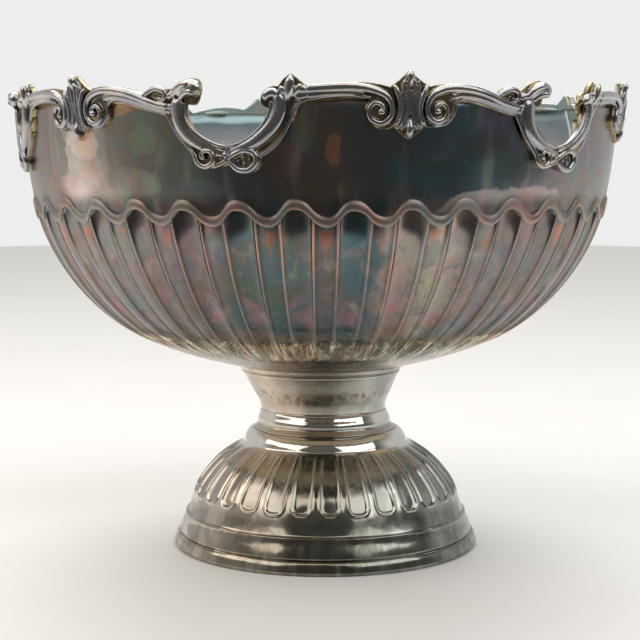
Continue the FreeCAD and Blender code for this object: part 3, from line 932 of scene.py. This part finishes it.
class Finish:
    """A material, or a world, being built up from nodes."""

    def __init__(self, name=None, holder=None):
        self.material = holder or bpy.data.materials.new(name)
        self.material.use_nodes = True
        self.tree = self.material.node_tree
        self.tree.nodes.clear()

    def add(self, kind, settings=None, inputs=None, output=0):
        """Adds a node: its settings first, then the numbers or links of its sockets."""
        node = self.tree.nodes.new(kind)
        for name, value in (settings or {}).items():
            if name == "stops":
                self._set_stops(node.color_ramp, value)
            else:
                setattr(node, name, value)
        for name, value in (inputs or {}).items():
            if isinstance(value, Value):
                self.tree.links.new(value.socket, node.inputs[name])
            else:
                node.inputs[name].default_value = value
        return Value(self, node.outputs[output])

    def _set_stops(self, ramp, stops):
        ramp.interpolation = "EASE"
        while len(ramp.elements) < len(stops):
            ramp.elements.new(0.5)
        for element, (place, colour) in zip(ramp.elements, stops):
            element.position = place
            element.color = (*colour, 1)

    def place(self):
        """Where the point is, in metres, as three values and the vector itself."""
        where = self.add("ShaderNodeTexCoord", output="Object")
        split = self.add("ShaderNodeSeparateXYZ", inputs={0: where})
        parts = [Value(self, socket) for socket in split.socket.node.outputs]
        return where, *parts

    def noise(self, where, size, detail=3.0, roughness=0.55, distortion=0.0, stretch=(1, 1, 1)):
        """Soft noise from 0 to 1, with lumps of about the given size in millimetres."""
        scaled = self.add("ShaderNodeMapping", inputs={"Vector": where, "Scale": stretch})
        return self.add("ShaderNodeTexNoise", inputs={
            "Vector": scaled, "Scale": 1 / (size * MM), "Detail": detail,
            "Roughness": roughness, "Distortion": distortion})

    def colours(self, value, *stops):
        """A colour ramp over a value from 0 to 1."""
        return self.add("ShaderNodeValToRGB", {"stops": stops}, {"Fac": value})

    def mix(self, amount, first, second, blend="MIX"):
        """Blends two colours, given as links or as (red, green, blue)."""
        pair = [c if isinstance(c, Value) else (*c, 1) for c in (first, second)]
        return self.add("ShaderNodeMix", {"data_type": "RGBA", "blend_type": blend},
                        {0: amount, 6: pair[0], 7: pair[1]}, output=2)

    def bump(self, height, depth, before=None):
        """A normal bent by a height from 0 to 1 that stands for a depth in millimetres."""
        inputs = {"Height": height, "Distance": depth * MM, "Strength": 1.0}
        if before:
            inputs["Normal"] = before
        return self.add("ShaderNodeBump", inputs=inputs)

    def glaze(self, amount, colour, film):
        """Lays a see-through film over a colour, as much as amount says."""
        return self.mix(amount, colour, self.mix(1.0, colour, film, "MULTIPLY"))

    def stored(self, name):
        """A number kept on each point of the mesh."""
        return self.add("ShaderNodeAttribute", {"attribute_name": name}, output="Fac")

    def turn_part(self, x, y):
        """How far round the axis a point is, from 0 to 1, with -Y at a half."""
        angle = self.add("ShaderNodeMath", {"operation": "ARCTAN2"}, {0: x, 1: y * -1.0})
        return angle / (2 * math.pi) + 0.5

    def metal(self, colour, roughness, normal):
        """Ends the graph in a metal surface and returns the material."""
        self.end(self.add("ShaderNodeBsdfPrincipled", inputs={
            "Base Color": colour, "Metallic": 1.0, "Roughness": roughness, "Normal": normal}))
        return self.material

    def end(self, surface, kind="ShaderNodeOutputMaterial"):
        """Joins a surface to the output node."""
        output = self.tree.nodes.new(kind)
        self.tree.links.new(surface.socket, output.inputs["Surface"])


print("shader helpers ready")

# %% [markdown]
# ## Tarnish on the outside of the bowl
# Silver darkens in air as a film of sulphide grows. A thin film shows interference colours in a
# fixed order: gold, copper, magenta, blue, teal and then grey. So the finish is a metal whose
# tint wanders through those colours. Two ramps run round the bowl, one for the plain wall and
# one for the flutes, and noise bends them so that no edge is straight. The flute ramp also holds
# painted light: it is darkest on the side facing the camera and lighter a little to its right.
# Ridges rub clean on cloths and shelves, so they are brighter and more coppery, and part of that
# copper is a painted reflection. Painted shade darkens the valleys beside the ridges and the
# pockets under the arches, and a few painted reflections and glints are laid on the flutes.

# %% Bowl outside
WALL_PATCHES = [                    # turn from -Y, height, half width, half height, tint, strength
    (-12.5, 262, 1.5, 12, (0.72, 0.42, 0.28), 0.75),
    (-19.5, 258, 1.6, 11, (0.40, 0.24, 0.24), 0.6),
    (4.0, 252, 9.0, 10, (0.16, 0.28, 0.31), 0.7),
    (16.0, 276, 5.0, 12, (0.30, 0.25, 0.38), 0.7),
    (33.0, 262, 8.0, 14, (0.34, 0.25, 0.36), 0.6),
    (-36.0, 240, 5.0, 8, (0.34, 0.38, 0.36), 0.6),
    (-54.0, 286, 7.0, 6, (0.90, 0.52, 0.30), 0.9),
    (-61.0, 268, 5.0, 11, (0.98, 0.80, 0.68), 0.9),
    (-46.0, 268, 4.0, 10, (0.42, 0.48, 0.34), 0.7),
    (-49.0, 244, 8.0, 9, (0.56, 0.52, 0.44), 0.7),
    (-71.0, 262, 6.0, 20, (0.30, 0.25, 0.22), 0.8),
    (110.0, 255, 22.0, 22, (0.20, 0.32, 0.34), 0.6),
    (165.0, 265, 26.0, 18, (0.40, 0.26, 0.28), 0.6),
    (-125.0, 258, 20.0, 20, (0.44, 0.34, 0.24), 0.6)]


def bowl_outside():
    finish = Finish("tarnished_bowl")
    where, x, y, z = finish.place()
    relief, lip, shelter = (finish.stored(name) for name in ("relief", "lip", "shelter"))
    turn_part = finish.turn_part(x, y)
    drift = finish.noise(where, 60, detail=4, roughness=0.6, distortion=0.6)
    cloud = finish.noise(where, 24, detail=5, roughness=0.65, distortion=0.9)
    grain = finish.noise(where, 5, detail=4, roughness=0.7)
    round_bowl = turn_part + (drift - 0.5) * 0.05 + (cloud - 0.5) * 0.04

    wall = finish.colours(
        round_bowl, (0.05, (0.24, 0.21, 0.24)), (0.16, (0.34, 0.33, 0.28)),
        (0.25, (0.28, 0.24, 0.225)), (0.30, (0.31, 0.24, 0.21)), (0.33, (0.74, 0.61, 0.52)),
        (0.355, (0.42, 0.41, 0.34)), (0.385, (0.29, 0.30, 0.25)), (0.43, (0.20, 0.20, 0.20)),
        (0.46, (0.27, 0.25, 0.22)), (0.485, (0.21, 0.215, 0.21)), (0.515, (0.19, 0.25, 0.28)),
        (0.545, (0.27, 0.35, 0.37)), (0.575, (0.23, 0.23, 0.22)), (0.62, (0.28, 0.27, 0.25)),
        (0.68, (0.42, 0.39, 0.37)), (0.80, (0.24, 0.26, 0.28)), (0.95, (0.26, 0.23, 0.25)))
    # Tarnish colours round the flutes, with painted light in them too: darkest teal on the side
    # facing the camera and a lighter warm patch a little to its right.
    flute = finish.colours(
        round_bowl, (0.05, (0.24, 0.22, 0.24)), (0.20, (0.27, 0.25, 0.24)),
        (0.29, (0.255, 0.23, 0.21)), (0.33, (0.26, 0.24, 0.22)), (0.39, (0.19, 0.165, 0.155)),
        (0.43, (0.10, 0.16, 0.155)), (0.455, (0.15, 0.16, 0.155)), (0.48, (0.08, 0.165, 0.18)),
        (0.502, (0.36, 0.29, 0.24)), (0.525, (0.42, 0.355, 0.28)), (0.55, (0.23, 0.21, 0.20)),
        (0.60, (0.205, 0.20, 0.19)), (0.66, (0.23, 0.22, 0.20)), (0.80, (0.19, 0.23, 0.24)),
        (0.95, (0.24, 0.22, 0.24)))
    for turn_at, rise, wide, tall, colour, strength in WALL_PATCHES:
        sideways = (turn_part - (0.5 + turn_at / 360)) / (wide / 360)
        upward = (z - rise * MM) / (tall * MM)
        reach = (sideways ** 2.0 + upward ** 2.0) + (cloud - 0.5) * 2.4
        wall = finish.mix(reach.step(1.0, 0.55) * strength, wall, colour)
    tide_top = (0.222 + 0.019 * turn_part.step(0.506, 0.528) * turn_part.step(0.604, 0.588)
                + (drift - 0.5) * 0.020)
    tide = (z - tide_top + (cloud - 0.5) * 0.014).step(0.0012, -0.0012)
    wall = finish.mix(tide * 0.85, wall, (0.66, 0.55, 0.52))
    ridge = relief.step(0.30, 0.75)
    # Painted shade: the valleys beside each ridge and the slopes into the panels are darkened.
    painted_groove_shade = relief.step(0.16, -0.25) * relief.step(-1.3, -0.5)
    # Ridges turn lighter and coppery, partly as rubbed-clean wear and partly as a painted reflection
    # of warm light, strongest on the upper flutes at the front.
    warm = z.step(0.180, 0.200) * turn_part.step(0.36, 0.40) * turn_part.step(0.505, 0.480)
    copper = finish.mix((warm + drift.step(0.60, 0.70) * 0.5).clamped(), (0.44, 0.40, 0.36),
                        (0.74, 0.38, 0.23))
    mottle = finish.noise(where, 11, detail=4, roughness=0.6, distortion=0.8, stretch=(1, 1, 0.6))
    flute = finish.mix(mottle.step(0.50, 0.66) * 0.4, flute, (0.34, 0.25, 0.25))
    flute = finish.mix(mottle.step(0.50, 0.36) * 0.5, flute, (0.12, 0.17, 0.18))
    flute = finish.mix(painted_groove_shade * 0.55, flute, (0.10, 0.08, 0.07))
    across = turn_part * (2 * math.pi * FLUTES) - FLUTES * FLUTE_TURN
    crest = finish.add("ShaderNodeMath", {"operation": "COSINE"}, {0: across})
    # Painted reflection: coral patches at the tops of the ribs, just under the lip.
    below_lip = 0.2190 - z
    painted_coral_reflection = (crest * -1.0 - 0.40 - below_lip * 34.0).step(0.0, 0.40) * below_lip.step(-0.001, 0.002)
    flute = finish.mix(painted_coral_reflection * drift.step(0.60, 0.46) * 0.6, flute, (0.52, 0.17, 0.10))
    blush = z.step(0.158, 0.164) * z.step(0.186, 0.170) * (cloud + mottle * 0.5).step(0.66, 0.84)
    flute = finish.mix(blush * crest.step(-0.4, 0.6) * 0.45, flute, (0.42, 0.22, 0.25))
    flute = finish.mix(ridge * 0.9, flute, copper)
    lower = finish.mix(cloud.step(0.35, 0.65), (0.52, 0.42, 0.30), (0.36, 0.35, 0.28))

    height = z + (cloud - 0.5) * 0.010
    tint = finish.mix((lip + height.step(0.230, 0.240)).clamped(), flute, wall)
    lip_tint = finish.mix(cloud.step(0.4, 0.6), (0.40, 0.30, 0.25), (0.30, 0.29, 0.27))
    tint = finish.mix(lip.step(0.15, 0.5) * 0.85, tint, lip_tint)
    # Painted reflection: a dark olive band near the bottom of the flutes stands for the foot seen in
    # them.
    tint = finish.mix(height.step(0.158, 0.150), tint, (0.20, 0.18, 0.14))
    tint = finish.mix(height.step(0.151, 0.145), tint, lower)
    # Painted shadow: dark brown in the pockets just under the arches.
    tint = finish.mix(shelter ** 1.5 * 0.7, tint, (0.10, 0.07, 0.055))
    film = finish.colours(
        finish.noise(where, 34, detail=3, distortion=1.4), (0.36, (0.90, 0.78, 0.56)),
        (0.44, (1.0, 0.70, 0.62)), (0.50, (0.95, 0.80, 1.0)), (0.56, (0.72, 0.92, 1.0)),
        (0.64, (0.80, 1.0, 0.88)))
    tint = finish.glaze(0.45, tint, film)
    tint = finish.mix(grain.step(0.62, 0.74) * 0.35, tint, (0.10, 0.08, 0.06))
    smear = finish.noise(where, 14, detail=4, stretch=(1, 1, 0.18))
    tint = finish.mix(smear.step(0.56, 0.72) * 0.35, tint, (0.55, 0.48, 0.42))

    scratch = finish.noise(where, 1.2, detail=2, stretch=(0.05, 0.05, 1))
    rough = 0.12 + 0.16 * cloud + 0.08 * grain + 0.10 * smear.step(0.5, 0.7)
    rough = rough + 0.22 * tide * height.step(0.222, 0.232) + 0.20 * lip.step(0.1, 0.6)
    normal = finish.bump(finish.noise(where, 28, detail=2), 0.5)
    normal = finish.bump(grain, 0.035, normal)
    normal = finish.bump(scratch, 0.006, normal)
    unrolled = finish.add("ShaderNodeCombineXYZ", inputs={0: turn_part * 0.9, 1: z * 0.5})
    chatter = finish.noise(unrolled, 5.5, detail=3) * z.step(0.158, 0.146) * z.step(0.131, 0.136)
    normal = finish.bump(chatter, 3.2, normal)
    # Painted highlights: pale gold glints where the chatter bumps rise, at the lower ends of the
    # flutes.
    painted_glints = chatter.step(0.50, 0.60)
    tint = finish.mix(painted_glints * 0.75, tint, (0.92, 0.84, 0.66))
    return finish.metal(tint, rough, normal)


# %% [markdown]
# ## The pale inside
# An inside gets wiped after use, so its film is taken to be thin: cream, sky blue and pink over
# bright silver, in broad soft bands.

# %% Bowl inside
def bowl_inside():
    finish = Finish("iridescent_inside")
    where, *_, z = finish.place()
    cloud = finish.noise(where, 45, detail=4, distortion=1.0)
    band = (z - 0.12) / 0.19 + (cloud - 0.5) * 0.16
    grain = finish.noise(where, 4, detail=4, roughness=0.7)
    tint = finish.colours(
        band, (0.0, (0.46, 0.38, 0.31)), (0.24, (0.70, 0.60, 0.42)), (0.40, (0.66, 0.50, 0.50)),
        (0.54, (0.38, 0.55, 0.58)), (0.66, (0.74, 0.68, 0.56)), (0.76, (0.66, 0.60, 0.54)),
        (0.82, (0.42, 0.44, 0.49)), (0.88, (0.26, 0.35, 0.38)), (0.95, (0.32, 0.39, 0.38)))
    tint = finish.mix(grain.step(0.60, 0.75) * 0.25, tint, (0.35, 0.28, 0.22))
    rough = 0.24 + 0.16 * cloud + 0.08 * grain
    normal = finish.bump(finish.noise(where, 30, detail=2), 0.4)
    normal = finish.bump(grain, 0.03, normal)
    return finish.metal(tint, rough, normal)


# %% [markdown]
# ## The cast rim
# The castings are polished only on their high parts. Their hollows hold old polish and brown
# sulphide. The relief stored on each point, its height above the sheet, drives both.

# %% Rim castings
def cast_silver():
    finish = Finish("cast_rim_silver")
    where, *_ = finish.place()
    relief = finish.stored("relief")
    lump = finish.noise(where, 9, detail=4, roughness=0.6)
    speck = finish.noise(where, 2.2, detail=4, roughness=0.7)
    drift = finish.noise(where, 45, detail=3, distortion=0.8)
    worn = (relief * 0.28 + (lump - 0.5) * 1.1).step(0.75, 1.65)
    body = finish.mix(drift.step(0.44, 0.64), (0.27, 0.275, 0.31), (0.36, 0.33, 0.28))
    hollow = finish.mix(lump.step(0.42, 0.62), (0.38, 0.30, 0.16), (0.17, 0.14, 0.11))
    tint = finish.mix(relief.step(2.9, 1.5), body, hollow)
    tint = finish.mix(worn * 0.45, tint, (0.78, 0.75, 0.72))
    tint = finish.mix(speck.step(0.58, 0.72) * 0.45, tint, (0.10, 0.08, 0.06))
    back = relief.step(-0.1, -0.5)
    back_tint = finish.mix(lump.step(0.4, 0.6), (0.30, 0.40, 0.40), (0.38, 0.43, 0.40))
    tint = finish.mix(back, tint, back_tint)
    rough = 0.10 + 0.14 * lump + 0.10 * speck + 0.16 * back
    front = 1.0 - back
    normal = finish.bump(lump * front, 0.16)
    normal = finish.bump(speck * front, 0.05, normal)
    return finish.metal(tint, rough, normal)


# %% [markdown]
# ## The foot
# The foot has the cleanest silver here, as if it were handled most: a warm champagne, fine wiping
# scratches round it and darker film in the hollows of its panels. Light is painted into its colour
# too: two lighter bands where the soft boxes shine, darker olive painted shade on the side facing
# the camera, a painted highlight on the shoulder and the neck's bead, and brown dashes on the neck
# that are partly a painted reflection of the flutes.

# %% Foot
def foot_silver():
    finish = Finish("champagne_silver")
    where, x, y, z = finish.place()
    relief = finish.stored("relief")
    cloud = finish.noise(where, 22, detail=4, distortion=0.7)
    grain = finish.noise(where, 3, detail=4, roughness=0.7)
    smear = finish.noise(where, 12, detail=4, stretch=(1, 1, 0.25))
    drift = finish.noise(where, 50, detail=4, distortion=0.8)
    round_foot = finish.turn_part(x, y) + (cloud - 0.5) * 0.06
    # Tarnish tones round the foot with painted light in them: two lighter bands where the left and
    # right soft boxes shine, and darker olive painted shade on the side facing the camera.
    tint = finish.colours(
        round_foot, (0.05, (0.46, 0.43, 0.37)), (0.24, (0.58, 0.52, 0.46)),
        (0.34, (0.70, 0.60, 0.50)), (0.395, (0.60, 0.54, 0.46)), (0.43, (0.37, 0.345, 0.29)),
        (0.48, (0.33, 0.32, 0.27)), (0.52, (0.50, 0.50, 0.45)), (0.55, (0.56, 0.56, 0.51)),
        (0.60, (0.42, 0.42, 0.38)), (0.66, (0.36, 0.36, 0.33)), (0.80, (0.42, 0.41, 0.36)),
        (0.95, (0.48, 0.43, 0.36)))
    dull = (cloud + (drift - 0.5) * 0.8).step(0.46, 0.60)
    tint = finish.glaze(dull * 0.38, tint, (0.62, 0.60, 0.58))
    skirt = z.step(0.036, 0.028) * (0.35 + 0.55 * smear.step(0.35, 0.60))
    tint = finish.glaze(skirt, tint, (0.48, 0.48, 0.45))
    shoulder = z.step(0.0670, 0.0685) * z.step(0.0790, 0.0765)
    neck_bead = z.step(0.0835, 0.085) * z.step(0.0915, 0.090)
    painted_highlight_and_polish = shoulder + neck_bead
    # Painted highlight on the shoulder and the neck's bead; the same bands are also made smoother, as
    # rubbed metal.
    tint = finish.mix(painted_highlight_and_polish * 0.65, tint, (0.90, 0.87, 0.80))
    tint = finish.mix(relief.step(-0.2, -0.8) * 0.5, tint, (0.26, 0.25, 0.22))
    tint = finish.mix(grain.step(0.60, 0.74) * 0.35, tint, (0.20, 0.17, 0.13))
    tint = finish.mix(smear.step(0.56, 0.70) * 0.25, tint, (0.80, 0.77, 0.72))
    # A row of brown dashes on the neck: partly tarnish, partly a painted reflection of the flutes
    # above.
    dashes = finish.noise(where, 3.5, detail=2, stretch=(1, 1, 0.3))
    smudge_and_flute_reflection = z.step(0.1010, 0.1025) * z.step(0.1070, 0.1050) * dashes.step(0.50, 0.60)
    tint = finish.mix(smudge_and_flute_reflection * 0.65, tint, (0.20, 0.12, 0.07))
    stain = finish.noise(where, 16, detail=5, roughness=0.6, distortion=1.2)
    tint = finish.mix(stain.step(0.66, 0.72) * 0.5, tint, (0.40, 0.44, 0.50))
    scratch = finish.noise(where, 0.8, detail=2, stretch=(0.04, 0.04, 1))
    rough = 0.06 + 0.09 * cloud + 0.06 * grain + 0.07 * smear.step(0.5, 0.7) + 0.10 * dull
    rough = rough * (1.0 - 0.55 * painted_highlight_and_polish)
    normal = finish.bump(finish.noise(where, 20, detail=2), 0.40)
    normal = finish.bump(grain, 0.02, normal)
    normal = finish.bump(scratch, 0.005, normal)
    return finish.metal(tint, rough, normal)


# %% [markdown]
# ## Hidden brass and steel
# The fixing inside the foot is seen only from below, if at all: bare brass gone brown, and a dull
# steel stud, washer and nut. It is a guess at how such a bowl is held together.

# %% Brass and steel
def bare_metal(name, clean, dull, roughness):
    """Unplated metal between a clean and a dull tint."""
    finish = Finish(name)
    where, *_ = finish.place()
    cloud = finish.noise(where, 8, detail=5, roughness=0.65)
    grain = finish.noise(where, 1.2, detail=3)
    tint = finish.mix(cloud.step(0.40, 0.62), clean, dull)
    rough = roughness + 0.2 * cloud
    normal = finish.bump(cloud, 0.08)
    normal = finish.bump(grain, 0.015, normal)
    return finish.metal(tint, rough, normal)


# %% [markdown]
# ## Giving out the finishes
# The bowl has two materials, outside and inside, chosen face by face when its skin was made.
# Every other piece has one. The boss, stud, washer and nut are the CAD solids themselves.

# %% Giving out the finishes
bowl.data.materials.append(bowl_outside())
bowl.data.materials.append(bowl_inside())
rim_finish = cast_silver()
foot_finish = foot_silver()
brass_finish = bare_metal("brown_brass", (0.62, 0.45, 0.22), (0.26, 0.17, 0.09), 0.30)
steel_finish = bare_metal("dull_steel", (0.58, 0.58, 0.56), (0.30, 0.28, 0.26), 0.28)
for piece in bpy.data.objects:
    if piece.name.startswith(("rim_leaf_cast", "rim_notch_cast")):
        piece.data.materials.append(rim_finish)
    if piece.name in ("neck_spun", "collar_turned", "base_band", "dome_pressed"):
        piece.data.materials.append(foot_finish)
    if piece.name == "waist_disc":
        piece.data.materials.append(brass_finish)
for node, finish in (("bowl_boss", brass_finish), ("fixing_stud", steel_finish),
                     ("stud_washer", steel_finish), ("stud_nut", steel_finish)):
    solid = frame["nodes"][node]
    solid.data.materials.clear()
    solid.data.materials.append(finish)
print("materials:", len(bpy.data.materials))

# %% [markdown]
# ## Floor
# A pale round table top, set back so that its front edge is a little way before the bowl. Metal
# shows what is round it, and the plain wall of the bowl is dark because it looks past that edge
# into a dim room, while the flutes below look down onto the pale table.

# %% Floor
TABLE_R = 2.2
TABLE_FRONT = 0.42                  # from the bowl's axis to the front edge

away = np.array([-math.sin(EYE_AZIMUTH), math.cos(EYE_AZIMUTH)])
table_centre = away * (TABLE_R - TABLE_FRONT)
edge = np.linspace(0, 2 * math.pi, 160, endpoint=False)
table_points = [(table_centre[0] + TABLE_R * math.cos(a), table_centre[1] + TABLE_R * math.sin(a),
                 level) for level in (0.0, -0.03) for a in edge]
count = len(edge)
table_faces = [tuple(range(count))]
for k in range(count):
    after = (k + 1) % count
    table_faces.append((k, after, count + after, count + k))
table_mesh = bpy.data.meshes.new("table_top")
table_mesh.from_pydata(table_points, [], table_faces)
table = bpy.data.objects.new("table_top", table_mesh)
bpy.context.scene.collection.objects.link(table)

paper = Finish("matt_white_table")
where, *_ = paper.place()
paper_cloud = paper.noise(where, 120, detail=3)
paper_tint = paper.mix(paper_cloud, (0.80, 0.79, 0.77), (0.84, 0.83, 0.82))
paper.end(paper.add("ShaderNodeBsdfPrincipled", inputs={
    "Base Color": paper_tint, "Roughness": 0.85, "Specular IOR Level": 0.2}))
table.data.materials.append(paper.material)
print("table top radius %.1f m" % TABLE_R)

# %% [markdown]
# ## Light
# Two large soft boxes stand high to the left and right, each wide enough to give the pair of
# broad highlights on the neck with a dark gap between them. A broad window behind lights the rim
# from the back.

# %% Soft boxes
def soft_box(name, turn_from_eye, rise, distance, width, tall, power, colour=(1, 1, 1)):
    """An area light aimed at the bowl, placed by its turn from the camera's side and its rise."""
    light = bpy.data.lights.new(name, "AREA")
    light.shape = "RECTANGLE"
    light.size = width
    light.size_y = tall
    light.energy = power
    light.color = colour
    lamp = bpy.data.objects.new(name, light)
    azimuth = EYE_AZIMUTH + math.radians(turn_from_eye)
    level = distance * math.cos(math.radians(rise))
    lamp.location = (level * math.sin(azimuth), -level * math.cos(azimuth),
                     0.15 + distance * math.sin(math.radians(rise)))
    lamp.rotation_euler = (math.pi / 2 - math.radians(rise), 0, azimuth)
    bpy.context.scene.collection.objects.link(lamp)


soft_box("left_soft_box", -68, 52, 2.0, 2.4, 2.4, 29, (1.0, 0.93, 0.85))
soft_box("right_soft_box", 51, 52, 2.0, 2.0, 2.4, 24)

sun = bpy.data.lights.new("window_behind", "SUN")
sun.energy = 1.9
sun.angle = math.radians(45)
window = bpy.data.objects.new("window_behind", sun)
window.rotation_euler = (math.radians(-38), 0, EYE_AZIMUTH)
bpy.context.scene.collection.objects.link(window)

# %% [markdown]
# ## Room
# Polished metal shows its room, so the room matters as much as the lamps. In front it is dim, with
# a soft glow low on the left. Behind, it is as bright as white paper, which makes the pale sides of
# the bowl. The camera itself sees only an even pale backdrop.

# %% Room
world = bpy.data.worlds.new("studio")
bpy.context.scene.world = world
room = Finish(holder=world)
toward = room.add("ShaderNodeTexCoord", output="Generated")
parts = room.add("ShaderNodeSeparateXYZ", inputs={0: toward}).socket.node.outputs
east, north, up = (Value(room, socket) for socket in parts)
behind = east * float(away[0]) + north * float(away[1])
bright_side = behind.step(-0.15, 0.32)
dim = room.mix(up.step(-0.1, 0.7), (0.095, 0.093, 0.090), (0.13, 0.13, 0.12))
to_left = east * -math.cos(EYE_AZIMUTH) + north * -math.sin(EYE_AZIMUTH)
dim = room.mix(to_left.step(0.45, 0.95) * up.step(0.6, 0.2), dim, (0.27, 0.265, 0.25))
around_bowl = room.mix(bright_side * up.step(0.75, 0.35), dim, (0.62, 0.62, 0.61))
seen = room.add("ShaderNodeLightPath", output="Is Camera Ray")
sky = room.add("ShaderNodeBackground",
               inputs={"Color": room.mix(seen, around_bowl, (0.85, 0.85, 0.845))})
room.end(sky, "ShaderNodeOutputWorld")
bpy.context.scene.view_settings.view_transform = "Standard"
print("room nodes:", len(room.tree.nodes))
